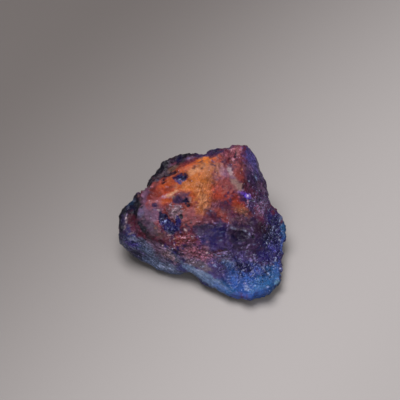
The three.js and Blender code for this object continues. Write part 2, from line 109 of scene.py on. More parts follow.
# Patches of the visible side, wide ones first in each part: stain, middle across and down, half width and
# half height, turn in degrees anticlockwise, softness of the edge, and strength.
PATCHES = (
    # the wide grounds that the finer patches lie on
    ("rust", 180, 198, 42, 28, 25, 0.9, 1.0),
    ("plum", 246, 228, 34, 28, -35, 0.7, 1.0),
    ("navy", 273, 234, 13, 28, 8, 0.8, 1.0),
    ("ink", 270, 240, 8, 20, 5, 1.2, 0.6),
    ("plum", 260, 196, 16, 18, -30, 0.8, 1.0),
    ("mauve", 147, 212, 14, 15, -40, 0.8, 1.0),
    ("slate", 150, 255.5, 40, 12.5, -26, 0.4, 1.0),
    ("soot", 131, 206, 13, 16, 40, 0.4, 1.0),
    ("umber", 171, 163, 32, 10, 30, 0.4, 1.0),
    ("royal", 246, 282, 30, 18, -15, 0.8, 1.0),
    ("violet", 210, 268, 22, 9, -32, 0.7, 0.9),
    # the glowing top face
    ("ember", 172, 189, 27, 11, 26, 1.0, 0.95),
    ("orange", 178, 182, 17, 9, 25, 1.1, 0.9),
    ("peach", 196, 181, 18, 18, 25, 1.3, 1.0),
    ("brick", 153, 195, 8, 5, 30, 0.9, 0.7),
    ("brick", 169, 189, 5, 2.4, 25, 0.9, 0.7),
    ("rose", 155, 185, 5, 2, 20, 1.0, 0.6),
    ("orange", 186, 166, 14, 3.4, 24, 0.9, 0.9),
    ("cream", 194, 170.5, 7, 3, 25, 1.1, 0.85),
    ("cream", 208, 166, 6, 5, 0, 1.1, 0.35),
    ("gold", 209, 158.5, 10, 3.2, 8, 1.1, 0.7),
    ("orange", 218, 158.5, 6, 4, 0, 0.9, 0.9),
    ("peach", 203, 175, 7, 5, 30, 1.3, 0.3),
    ("brown", 211, 183, 4, 12, 15, 1.2, 0.35),
    ("brown", 201, 188, 6, 5, 30, 1.1, 0.45),
    ("peach", 204, 199, 9, 10, 15, 1.2, 0.9),
    ("cream", 203, 202, 5, 9, 15, 1.2, 0.65),
    ("ember", 191, 196, 5, 6, 30, 1.0, 0.6),
    ("rust", 217, 198, 8, 12, -10, 1.2, 0.8),
    ("ember", 221, 191, 9, 8, -20, 1.1, 0.8),
    ("pink", 166.5, 196.4, 4.4, 2.0, 15, 1.3, 0.9),
    ("cream", 171, 194.5, 5, 1.8, 22, 1.3, 0.9),
    ("cream", 175.5, 192.3, 3, 1.4, 25, 1.3, 0.9),
    ("orange", 166, 201.6, 6, 2.4, 14, 0.9, 0.9),
    ("sand", 173.5, 197, 2.6, 1.6, 20, 1.1, 0.8),
    ("sand", 189.5, 200, 2.2, 2.6, 0, 1.2, 0.7),
    ("rose", 157, 203, 6, 4, 30, 1.0, 0.6),
    ("wine", 181, 178.6, 8.6, 6, 15, 1.2, 0.6),
    ("plum", 181, 199, 7.5, 5.5, 10, 1.1, 0.9),
    # the dark back slope and the rim behind the glow
    ("wine", 190, 161, 14, 2.4, 22, 0.8, 0.9),
    ("plum", 205, 154.5, 11, 2.4, 8, 0.6, 1.0),
    ("mauve", 189.5, 157.5, 5, 1.8, 15, 1.0, 0.7),
    ("soot", 184, 155, 8, 2.2, 20, 0.9, 0.9),
    ("ink", 179, 160, 5, 2.4, 25, 0.9, 0.8),
    ("brick", 180, 167, 7, 2, 25, 1.0, 0.8),
    ("olive", 172, 168.5, 6, 2.4, 25, 1.1, 0.7),
    ("mauve", 171, 164.8, 5, 1.4, 25, 1.1, 0.5),
    ("wine", 174, 163.6, 3, 1.4, 20, 1.1, 0.8),
    ("soot", 164, 165, 4.2, 6, -35, 0.9, 0.9),
    ("grey", 165, 172, 4, 2.6, 30, 1.0, 0.5),
    ("taupe", 159, 176, 5, 2.2, 30, 1.0, 0.8),
    ("umber", 170, 174.5, 8, 1.3, 22, 0.8, 1.0),
    ("soot", 151, 181, 10, 1.9, 54, 0.6, 1.0),
    ("soot", 159, 170, 9, 2.8, 52, 0.8, 0.9),
    ("soot", 144, 188.5, 5, 1.2, 50, 0.8, 0.7),
    ("ink", 219, 149.5, 8, 2.2, 22, 0.6, 0.9),
    ("plum", 213, 155, 4, 3, 30, 0.7, 0.8),
    # the left rim, the dark ledge and the crease under them
    ("mauve", 145, 196, 3.4, 8, -18, 0.9, 0.9),
    ("lilac", 141, 212, 3.4, 6, -35, 1.1, 0.5),
    ("rose", 152, 204, 5, 5, 0, 1.0, 0.6),
    ("taupe", 153, 230, 15, 5.4, -42, 1.0, 0.9),
    ("plum", 149, 227, 8, 4, -42, 1.1, 0.5),
    ("brown", 164, 237, 8, 4, -38, 1.1, 0.4),
    ("soot", 121.5, 222, 3.4, 11, 0, 0.7, 0.9),
    ("violet", 123, 219, 1.4, 5, 5, 1.0, 0.3),
    ("soot", 129.5, 207.5, 6, 7.6, 35, 0.6, 1.0),
    ("ink", 130, 209, 5, 6, 35, 1.0, 0.5),
    ("slate", 134.5, 199.5, 2.4, 3, 35, 1.0, 0.8),
    ("teal", 131, 203, 4, 3, 35, 1.1, 0.3),
    ("wine", 132.5, 221.5, 4.2, 9, 15, 0.9, 0.9),
    ("umber", 132, 221, 4, 8, 15, 1.1, 0.3),
    ("mauve", 135, 230.5, 4, 2.2, 0, 1.1, 0.4),
    ("grey", 131, 233.4, 3, 1.3, 0, 1.0, 0.8),
    # painted shade: the crease between the ledge and the top face darkened with soot
    ("soot", 142, 228, 9, 2.6, -48, 0.9, 1.0),
    ("umber", 149, 237.5, 6, 1.8, -42, 0.9, 0.9),
    # the front break
    ("steel", 142, 249, 10, 2.6, -24, 1.1, 0.9),
    ("steel", 158, 258, 14, 3.6, -28, 1.1, 0.35),
    ("slate", 150, 250, 9, 2.2, -32, 1.2, 0.5),
    ("navy", 133, 244, 8, 2.8, -20, 1.0, 1.0),
    ("ink", 123, 235, 4, 5, 20, 1.0, 0.4),
    ("violet", 128, 243, 6, 1.4, -20, 1.1, 0.6),
    ("ink", 138, 255, 11, 2.4, -33, 0.9, 0.9),
    ("ink", 148, 260, 9, 1.8, -28, 0.9, 0.9),
    ("violet", 141, 252, 8, 1.2, -30, 1.1, 0.6),
    # painted bounce light: the lower front band's slate-blue made paler with steel and frost, standing in for light
    # from the floor
    ("steel", 160, 266, 16, 4.6, -24, 1.1, 0.8),
    ("frost", 166, 267, 11, 3, -18, 1.2, 0.2),
    ("navy", 173, 262, 6, 1.8, -20, 1.1, 0.8),
    ("indigo", 183, 267.5, 6, 4, -20, 1.0, 0.5),
    ("ink", 179, 268, 3, 2.4, -20, 1.1, 0.4),
    ("taupe", 158, 247, 14, 4, -42, 1.2, 0.7),
    ("mauve", 162, 252, 14, 4.4, -40, 1.3, 0.5),
    ("sand", 170, 257, 8, 3, -30, 1.3, 0.4),
    ("wine", 169, 243, 8, 5, -30, 1.1, 0.8),
    ("wine", 160, 242.5, 6, 2.8, -45, 1.0, 0.9),
    ("umber", 161.5, 244.5, 4, 2, -45, 0.9, 1.0),
    ("umber", 178, 251.5, 8, 2.8, -25, 1.0, 0.9),
    ("steel", 207, 278.5, 29, 5, -32, 0.35, 1.0),
    ("royal", 224, 290, 12, 4, -34, 1.0, 0.5),
    ("frost", 197, 271, 10, 2.4, -34, 1.2, 0.2),
    # the middle: maroon, pink ripples and the purple hollow
    ("rose", 193, 216, 15, 8, -10, 1.1, 0.8),
    ("wine", 210, 220, 11, 5, -10, 1.0, 0.8),
    ("grey", 174, 213, 8, 8, 0, 0.9, 0.8),
    ("mauve", 181, 197, 6, 5, -20, 1.0, 0.25),
    ("peach", 201, 211, 5, 5, 0, 1.2, 0.6),
    ("wine", 217, 211, 7, 7, -20, 1.0, 0.6),
    ("wine", 228, 210, 7, 9, -10, 1.0, 0.8),
    ("mauve", 216, 208, 3.4, 3.4, 0, 1.2, 0.4),
    ("rust", 223, 215.5, 9, 3.4, -38, 1.0, 0.9),
    ("ember", 237, 203, 10, 5, -35, 1.1, 0.9),
    ("orange", 235, 202, 4, 2.4, -35, 1.1, 0.2),
    ("brown", 243, 211, 8, 4.5, -35, 1.1, 0.5),
    ("brick", 248, 212, 5, 2.4, -45, 1.0, 0.7),
    ("cream", 241, 210, 6, 3.4, -35, 1.4, 0.35),
    ("wine", 238, 218, 10, 5, -15, 1.0, 0.8),
    ("grey", 240, 220, 8, 3.4, -10, 1.3, 0.35),
    ("wine", 258, 213, 4, 8, 20, 1.0, 0.8),
    ("wine", 262, 225, 6, 8, 0, 1.1, 0.5),
    ("umber", 259, 229, 10, 7, -20, 1.1, 0.8),
    ("brick", 186, 238, 13, 8, -12, 1.0, 0.9),
    ("rust", 179, 241, 6, 5, 0, 1.1, 0.8),
    ("mauve", 197, 254, 18, 7.4, -16, 1.1, 0.9),
    ("rose", 195, 253, 14, 5, -16, 1.2, 0.7),
    ("wine", 203, 247, 8, 2.4, -10, 1.0, 0.6),
    ("plum", 202, 231, 8, 6, -10, 1.1, 0.8),
    ("plum", 210, 235, 12, 8, 0, 1.0, 0.5),
    ("navy", 218, 240, 11, 13, -10, 1.1, 0.8),
    ("plum", 228, 244, 12, 5, -30, 1.2, 0.7),
    ("umber", 241, 237, 9, 6, -25, 1.0, 0.9),
    ("ink", 242, 237, 9, 6, -25, 1.1, 0.45),
    ("ink", 236, 242, 7, 4, -30, 1.2, 0.7),
    ("violet", 234, 251, 12, 3.4, -42, 1.2, 0.6),
    ("grey", 201, 265.5, 14, 3.4, -24, 1.1, 0.9),
    # the upper right
    ("wine", 233, 155, 13, 10, 10, 0.8, 1.0),
    ("rose", 238, 152, 6, 5, 0, 1.1, 0.8),
    ("rose", 227, 156, 6, 4, 0, 1.1, 0.6),
    ("umber", 235.6, 155, 1.2, 3.2, -8, 0.9, 1.0),
    ("brick", 229, 161, 7, 2.4, -20, 1.1, 0.6),
    ("rose", 224, 176, 9, 14, 25, 1.1, 0.9),
    ("cream", 218, 169, 5, 6, 30, 1.3, 0.45),
    ("lilac", 224, 172, 2.6, 5, 35, 1.3, 0.3),
    ("rust", 226, 184, 6, 6, 0, 1.2, 0.6),
    ("rust", 240, 174, 6, 10, 22, 1.0, 0.9),
    ("rose", 240, 168, 5, 5, 22, 1.2, 0.5),
    ("bone", 230.8, 171.4, 2.8, 4.4, 25, 0.6, 0.5),
    ("sand", 236.8, 184.6, 4.4, 7.6, 34, 1.0, 0.75),
    ("mauve", 233, 177, 3.4, 1.4, -15, 1.1, 0.7),
    ("rose", 234, 188, 3, 5, 30, 1.2, 0.4),
    ("violet", 254, 162, 9, 18, 22, 0.6, 1.0),
    ("indigo", 252, 160, 4, 12, 20, 1.2, 0.35),
    ("mauve", 249, 168, 4, 5, 20, 1.2, 0.6),
    ("grey", 259.5, 166, 2, 9, 20, 1.1, 0.5),
    ("plum", 251, 179, 6, 9, 20, 1.0, 0.8),
    ("ink", 254.4, 176, 2.6, 5, 15, 1.0, 0.8),
    ("mauve", 262, 188, 4, 6, 20, 1.2, 0.5),
    ("umber", 245, 184, 1.3, 5, 18, 1.0, 0.6),
    ("umber", 242.6, 186.5, 1.4, 1.6, 0, 0.8, 1.0),
    # the violet halo of a painted glint
    ("sparkle", 243.5, 193.4, 3.8, 2.0, -20, 1.4, 0.4),
    ("sparkle", 247.6, 195.8, 2.6, 2.4, 0, 1.3, 0.8),
    ("wine", 252, 192, 6, 4, -40, 1.1, 0.6),
    ("mauve", 261, 208, 5, 7, -25, 1.2, 0.6),
    # the blue tip
    ("violet", 217, 264, 8, 4, -20, 1.0, 0.8),
    ("cerulean", 231, 264, 10, 5, -30, 1.3, 0.4),
    ("steel", 231, 263.5, 8, 3.6, -30, 1.4, 0.4),
    ("plum", 227, 258, 9, 2.6, -15, 1.0, 0.9),
    ("violet", 242, 257, 3.6, 5.4, -8, 0.9, 0.9),
    ("navy", 244, 268, 11, 6.5, -20, 1.1, 0.9),
    ("ink", 243.5, 267.5, 8, 4.8, -10, 1.0, 0.7),
    ("navy", 256, 276, 5, 3, 0, 1.1, 0.5),
    ("navy", 265, 257, 12, 8, -20, 1.0, 0.9),
    ("cerulean", 265, 283, 14, 8, 25, 1.1, 1.0),
    ("cerulean", 274, 273, 7, 7, 0, 1.1, 0.8),
    ("royal", 277, 267, 4, 6, 0, 1.1, 0.7),
    ("teal", 225, 284, 10, 2.4, -34, 1.0, 0.5),
    ("navy", 240, 278, 5, 3, 20, 1.3, 0.4),
    ("sea", 277.5, 282, 2.6, 2.2, 30, 1.0, 0.9),
    ("teal", 276, 290, 10, 3, 35, 0.8, 1.0),
    ("cerulean", 235, 294, 8, 3, -25, 1.1, 0.9),
    ("indigo", 239, 296, 9, 3, 0, 1.1, 0.5),
    ("royal", 262, 293, 10, 3, 25, 1.1, 0.8),
    ("cerulean", 283.5, 231, 3, 7, 0, 0.9, 0.8),
    ("teal", 283, 227, 2.4, 4, 0, 1.1, 0.7),
    # painted highlight along the right edge
    ("steel", 280.5, 219, 2, 5, -20, 1.0, 0.7),
    ("royal", 282, 246, 2, 8, 0, 1.0, 0.7),
    ("indigo", 274, 247, 5, 4, 0, 1.2, 0.4),
)

# Dark grains in the top face: stain, middle across and down, half width and half height, turn.
DARK_GRAINS = (
    ("navy", 181.5, 178.2, 7, 4.6, 12),
    ("ink", 183.5, 177, 5.6, 3.2, 12),
    ("plum", 175.4, 178.4, 3, 1.2, 12),
    ("violet", 180, 183, 2.2, 2.2, 0),
    ("plum", 181.5, 199.5, 4, 3.8, 0),
    ("plum", 177, 199.6, 5.2, 4.0, 20),
    ("ink", 185.2, 200.2, 3, 3.2, 20),
    ("umber", 188.5, 205, 2.2, 1.8, 0),
    ("plum", 155, 205.4, 2.8, 2.6, -20),
    ("ink", 161.5, 217, 4.8, 5, 20),
    ("navy", 172, 228.5, 9.6, 4.6, -20),
    ("navy", 168, 223.5, 6, 3.4, -15),
    ("navy", 178, 221.5, 3, 6, -10),
    ("ink", 170, 232, 5, 2, -15),
    ("soot", 181.6, 217, 2, 2.6, 0),
    ("umber", 163.5, 180.5, 1.0, 1.4, 0),
    ("umber", 164, 183.4, 2.2, 1.1, 30),
    ("umber", 158, 178.5, 1.8, 0.8, 20),
    ("soot", 253, 237, 1.5, 1.6, 0),
)

# Small pale marks and veins, and painted highlights, the small white, pale blue and pink glints of light on the
# stone:
# stain, middle across and down, half length and half width, turn, strength.
PALE_MARKS_AND_HIGHLIGHTS = (
    ("pale", 179.4, 179.6, 1.3, 0.8, 20, 0.5),
    ("pink", 175.6, 181, 1.4, 1.2, 0, 0.5),
    ("pale", 183.6, 176, 1.2, 0.6, 30, 0.5),
    ("frost", 183.5, 162, 0.9, 0.9, 0, 0.9),
    ("lilac", 187, 158, 2.4, 0.7, 15, 0.7),
    ("pink", 151.5, 186.5, 1.6, 0.8, 0, 0.5),
    ("pink", 167, 187, 1.4, 0.8, 0, 0.5),
    ("bone", 172, 194, 2.6, 0.7, 20, 0.5),
    ("pink", 156.5, 201.5, 1.1, 0.9, 0, 0.7),
    ("lilac", 154.5, 209.2, 2.4, 0.9, -20, 0.9),
    ("bone", 159, 210.4, 1.3, 0.8, -20, 0.9),
    ("lilac", 149, 215, 2.2, 1.2, -20, 0.5),
    ("pale", 165.5, 221.5, 1.1, 0.9, 0, 0.6),
    ("bone", 172.5, 211.5, 2.2, 0.7, 30, 0.6),
    ("bone", 176.5, 208.5, 2.2, 0.7, -20, 0.5),
    ("pink", 171, 217.5, 1.8, 1.1, 0, 0.7),
    ("pink", 158.5, 231, 2.4, 0.9, -35, 0.6),
    ("cream", 155.5, 228, 1.2, 0.8, -35, 0.6),
    ("bone", 169, 235.4, 2.2, 0.8, 15, 0.6),
    ("sand", 175, 238.6, 2.0, 1.0, 20, 0.8),
    ("bone", 185, 229.6, 2.0, 0.9, -25, 0.7),
    ("pink", 183, 238, 2.4, 0.7, -15, 0.8),
    ("pink", 187.5, 236, 2.6, 0.6, 10, 0.7),
    ("sand", 178.5, 241.6, 2.0, 0.6, 20, 0.8),
    ("cream", 177.5, 244.5, 1.4, 0.6, -20, 0.7),
    ("pink", 191, 243, 2.6, 0.6, 10, 0.6),
    ("pink", 187, 241, 3.0, 0.5, 5, 0.6),
    ("bone", 163.6, 246, 0.9, 0.8, 0, 0.9),
    ("bone", 170.2, 252.4, 0.9, 1.1, 0, 0.9),
    ("pink", 189, 258, 1.6, 0.8, -20, 0.7),
    ("bone", 207, 253, 1.4, 0.8, 20, 0.6),
    ("lilac", 126.2, 218, 1.0, 3.8, -8, 0.8),
    ("bone", 126.6, 219.5, 1.1, 3.6, 5, 0.8),
    ("grey", 125, 227, 0.8, 3.2, -22, 0.7),
    ("lilac", 215.5, 222.6, 3.6, 0.8, -30, 0.8),
    ("pink", 213, 221, 1.6, 0.7, 40, 0.7),
    ("lilac", 211, 225.6, 2.6, 0.7, -10, 0.6),
    ("lilac", 220, 226.6, 2.4, 0.6, 15, 0.5),
    ("pink", 198, 221.6, 1.8, 0.7, 5, 0.6),
    ("pink", 206, 222.4, 1.8, 0.7, -15, 0.6),
    ("lilac", 203, 234.5, 1.0, 0.8, 0, 0.7),
    ("lilac", 227, 231.5, 0.7, 6.0, -8, 0.5),
    ("lilac", 228.4, 225, 0.6, 2.6, -25, 0.6),
    ("grey", 239, 229, 8.0, 2.2, -8, 0.7),
    ("frost", 244, 230.6, 2.6, 0.9, -25, 0.35),
    ("pale", 234, 228.4, 3.0, 1.1, -10, 0.3),
    ("pale", 250, 234.5, 2.4, 0.7, -60, 0.5),
    ("pale", 221.5, 232, 2.4, 0.5, 3, 0.3),
    ("pale", 220.5, 236, 2.6, 0.5, 0, 0.3),
    ("pale", 221, 240, 2.2, 0.5, 0, 0.3),
    ("pink", 222.6, 216.4, 0.9, 0.8, 0, 0.8),
    ("lilac", 222, 252.6, 6.0, 0.7, 8, 0.7),
    ("lilac", 226, 254, 4.5, 0.6, -8, 0.5),
    ("pale", 219, 255.4, 4.0, 0.6, -8, 0.5),
    ("lilac", 247, 247, 3.8, 0.7, 50, 0.6),
    ("lilac", 240, 243.6, 2.4, 0.6, -10, 0.4),
    ("pale", 214.5, 266, 2.4, 0.8, -20, 0.5),
    ("pink", 213, 263, 1.6, 1.0, 0, 0.5),
    ("lilac", 255, 259, 5.5, 0.7, -45, 0.6),
    ("pale", 263, 268, 4.5, 0.8, -45, 0.6),
    ("frost", 268, 273.5, 1.6, 0.9, -45, 0.7),
    ("pale", 203, 266.5, 1.6, 0.8, -20, 0.6),
    ("lilac", 250, 259, 2.0, 2.2, 0, 0.5),
    ("frost", 275.6, 260, 1.3, 2.6, 0, 0.7),
    ("frost", 273.5, 266, 0.9, 0.8, 0, 0.8),
    ("frost", 280.6, 268.5, 0.7, 1.0, 0, 0.8),
    ("frost", 247, 288.6, 2.2, 2.4, 0, 0.55),
    ("lilac", 245, 283.4, 1.8, 1.0, 0, 0.7),
    ("pale", 234, 276, 2.6, 0.7, 10, 0.6),
    ("pale", 236, 273, 1.8, 0.6, 50, 0.6),
    ("pale", 240, 274, 1.8, 0.6, -50, 0.6),
    ("pale", 254, 286, 2.4, 0.7, 30, 0.5),
    ("pale", 229, 279, 2.2, 0.6, 20, 0.5),
    ("pale", 252, 271.5, 1.2, 0.8, 0, 0.6),
    ("frost", 273, 228.5, 0.5, 3.0, -20, 0.5),
    ("pale", 270.6, 233, 0.6, 1.8, 20, 0.6),
    ("frost", 279.6, 220.5, 0.8, 2.2, -15, 0.5),
    ("frost", 279.4, 240.5, 0.5, 2.2, 25, 0.6),
    ("frost", 267, 242.6, 0.5, 1.6, 25, 0.6),
    ("pale", 276.5, 237, 0.6, 1.4, -20, 0.6),
    ("lilac", 252.5, 229, 0.7, 2.6, 20, 0.4),
    ("lilac", 263, 210, 2.0, 2.6, -20, 0.4),
    ("pale", 254.6, 244, 2.6, 0.6, 5, 0.3),
    # the white core of a painted glint
    ("spark", 247.8, 195.8, 1.1, 1.1, 0, 1.0),
    ("pink", 248, 201.5, 0.8, 2.0, 0, 0.6),
    ("cream", 242.5, 170, 0.8, 0.9, 0, 0.9),
    ("pink", 240.5, 150.5, 2.2, 1.1, 20, 0.5),
    ("pink", 231, 149, 3.0, 0.8, 12, 0.5),
    ("pink", 233, 160, 1.4, 1.8, 0, 0.6),
    ("pink", 237.6, 156.5, 0.8, 2.2, -10, 0.6),
    ("cream", 199, 205.6, 0.8, 2.4, -25, 0.6),
    ("cream", 205, 202, 0.7, 3.0, 10, 0.5),
    ("lilac", 253, 175.5, 0.6, 2.4, 30, 0.4),
    ("pale", 256.2, 177.5, 0.7, 3.0, 25, 0.7),
    ("frost", 248.6, 180.7, 0.7, 0.7, 0, 0.7),
)

# Small hollows and swellings, apart from the dark grains' own: middle across and down, half length and half
# width, turn, and height in millimetres.
SMALL_RELIEF = (
    # along the outline
    (170, 160, 13, 3, 28, 0.3),
    (186, 155, 7, 2.6, 15, 0.25),
    (202, 151.5, 7, 3, 5, -0.25),
    (151, 187, 11, 5, 52, 0.35),
    (149, 178.5, 2.6, 3, 50, -0.25),
    (118, 231, 3, 3, 0, -0.15),
    (279, 211, 5, 3, -50, -0.2),
    (285, 226, 3, 5, 0, 0.2),
    (281, 273, 4, 7, 5, 0.15),
    (262, 172, 2.6, 7, 18, -0.1),
    (266.5, 189, 2.6, 5, 18, -0.2),
    (140.5, 195, 5, 4, 40, 0.4),
    (271, 284, 12, 5, 42, 0.45),
    (243, 299, 10, 4, 0, 0.15),
    # on the top face and the front break
    (235.6, 155.2, 1.8, 4, -8, -0.07),
    (213, 236, 12, 8, 0, -0.2),
    (243, 238, 8, 5, -25, -0.2),
    (162, 244, 4.5, 2.4, -45, -0.2),
    (223, 219, 8, 1.6, -30, -0.15),
    (170, 174.5, 9, 1.6, 22, -0.15),
    (236.5, 183.5, 4, 9, 28, -0.1),
    (240, 229, 8, 2, -6, 0.06),
    (227, 231, 1, 7, -8, 0.06),
    (165, 252, 13, 1.8, -38, 0.1),
    (208, 277, 27, 1.2, -34, 0.06),
    (171, 195.5, 8, 2, 17, 0.05),
    (247.8, 195.6, 1.2, 1.2, 0, 0.1),
    (247, 289, 3, 3.4, 0, 0.1),
)

# Where the stone gets a painted glow, a faint emission of its own colour as if lit from within, and where its
# breaks
# are smooth: areas as a share, middle across and down, half width and half height, and turn.
PAINTED_GLOW_AREAS = (
    (1.0, 200, 172, 24, 26, 15),
    (0.5, 178, 192, 30, 16, 20),
    # a painted glow on the painted glint
    (1.0, 247.8, 195.6, 1.6, 1.6, 0),
)
CALM_AREAS = (
    (1.0, 255, 165, 9, 18, 12),
    (1.0, 236.5, 182, 4.5, 9, 35),
    (1.0, 212, 282, 30, 4, -34),
    (0.6, 155, 256, 40, 14, -22),
    (0.85, 203, 172, 18, 15, 20),
    (1.0, 198, 167, 14, 6, 20),
    (0.6, 168, 190, 20, 12, 25),
    (0.85, 214, 240, 13, 12, 0),
)

# Where each fine texture shows: its name, its least share anywhere, and areas as above.
TEXTURE_AREAS = (
    # painted glints: small bright specks that stand in for glints of light on tiny breaks
    (
        "painted_glint_density",
        0.02,
        (
            (0.2, 273, 240, 11, 32, 5),
            (0.1, 250, 272, 34, 20, 0),
            (0.1, 190, 254, 20, 10, -20),
            (0.12, 256, 200, 14, 14, 0),
            (0.1, 238, 164, 10, 14, 10),
        ),
    ),
    (
        "grainy",
        0.25,
        (
            (1.0, 196, 254, 22, 10, -20),
            (0.9, 232, 156, 14, 10, 0),
            (0.8, 250, 272, 34, 22, -15),
            (0.7, 172, 216, 12, 14, 0),
            (0.9, 240, 216, 12, 10, -20),
            (1.0, 254, 198, 14, 16, 0),
            (0.8, 183, 240, 12, 10, 0),
            (0.6, 172, 165, 16, 8, 25),
            (1.0, 152, 254, 42, 15, -26),
            (1.0, 275, 238, 10, 26, 0),
            (1.0, 255, 166, 8, 18, 20),
            (0.5, 209, 197, 12, 15, 12),
        ),
    ),
    (
        "rippled",
        0.0,
        (
            (1.0, 190, 241, 18, 9, -14),
            (1.0, 198, 254, 18, 9, -14),
            (0.6, 222, 254, 14, 7, -4),
            (0.3, 190, 220, 14, 8, 0),
            (0.6, 172, 213, 10, 8, 0),
        ),
    ),
    ("banded", 0.0, ((1.0, 152, 254, 42, 15, -26), (0.5, 212, 282, 32, 6, -34), (1.0, 255, 164, 9, 19, 20))),
    ("fibrous", 0.0, ((1.0, 208, 194, 12, 20, 12), (0.3, 196, 188, 14, 12, 10))),
    (
        "streaked",
        0.0,
        (
            (1.0, 275, 240, 9.5, 30, 5),
            (0.8, 252, 270, 28, 20, 0),
            (1.0, 260, 201, 13, 14, 0),
            (0.8, 231, 270, 20, 8, -30),
            (0.5, 168, 225, 12, 10, -20),
        ),
    ),
    ("veined", 0.1, ((0.8, 172, 213, 12, 10, 0), (0.5, 250, 254, 24, 22, 0), (0.8, 182, 242, 16, 10, -20))),
)

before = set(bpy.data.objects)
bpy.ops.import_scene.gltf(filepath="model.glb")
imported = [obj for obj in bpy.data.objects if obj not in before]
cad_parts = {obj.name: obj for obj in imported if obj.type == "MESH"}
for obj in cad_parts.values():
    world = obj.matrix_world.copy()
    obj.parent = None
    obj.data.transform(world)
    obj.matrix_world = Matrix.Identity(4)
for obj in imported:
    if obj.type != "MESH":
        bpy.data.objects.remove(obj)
CAD_BOX = [list(corner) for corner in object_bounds()]
LOW, HIGH = (np.array(corner) / MM for corner in CAD_BOX)

LOOK_AT = (LOW + HIGH) / 2 + LOOK_OFFSET
BACK = np.array([0.0, -math.cos(ELEVATION), math.sin(ELEVATION)])
RIGHT = np.array([1.0, 0.0, 0.0])
UP = np.cross(BACK, RIGHT)
EYE = LOOK_AT + DISTANCE * BACK
FOCAL_PIXELS = PICTURE * LENS / SENSOR


def linear(stain):
    """A stain's own surface colour as linear red, green and blue."""
    lit = np.array(PALETTE[stain]) / 255
    return STAIN_GAIN * np.where(lit <= 0.04045, lit / 12.92, ((lit + 0.055) / 1.055) ** 2.4)


def smooth_step(t):
    t = np.clip(t, 0, 1)
    return t * t * (3 - 2 * t)


def hashed(cells, seed):
    """A number from 0 to 1 for each whole-numbered cell, the same on every run."""
    mixed = np.sin(cells @ np.array([127.1, 311.7, 74.7]) + 53.3 * seed) * 43758.5453
    return mixed - np.floor(mixed)


def lumps(points, size, seed):
    """Smooth noise from -1 to 1 with lumps of that size; size may differ for each axis."""
    scaled = points / size + 17.3 * seed
    base = np.floor(scaled)
    blend = smooth_step(scaled - base)
    total = np.zeros(len(points))
    for corner in np.ndindex(2, 2, 2):
        weight = np.prod(np.where(corner, blend, 1 - blend), axis=1)
        total += weight * hashed(base + corner, seed)
    return 2 * total - 1


def rough(points, size, seed, octaves=3):
    """Lumps with finer lumps on them, from about -1 to 1."""
    return sum(lumps(points, size / 2**n, seed + n) / 2**n for n in range(octaves)) / 1.5


def grains(points, size, seed):
    """The nearest grain centre: the way to it, its cell, and how much nearer it is than the next one."""
    cell = np.floor(points / size)
    nearest = np.full(len(points), np.inf)
    second = nearest.copy()
    way = np.zeros_like(points)
    own = np.zeros_like(points)
    for step in np.ndindex(3, 3, 3):
        other = cell + step - 1
        centre = np.stack([hashed(other, seed + axis) for axis in range(3)], axis=1)
        offset = points - (other + centre) * size
        away = np.linalg.norm(offset, axis=1)
        closer = away < nearest
        second = np.where(closer, nearest, np.minimum(second, away))
        nearest = np.where(closer, away, nearest)
        way[closer] = offset[closer]
        own[closer] = other[closer]
    return way, own, second - nearest


def shown_at(points):
    """Where points show in the picture, in its pixels, and how far they are from the camera."""
    away = points - EYE
    depth = -away @ BACK
    across = PICTURE / 2 + FOCAL_PIXELS * (away @ RIGHT) / depth
    down = PICTURE / 2 - FOCAL_PIXELS * (away @ UP) / depth
    return across, down, depth


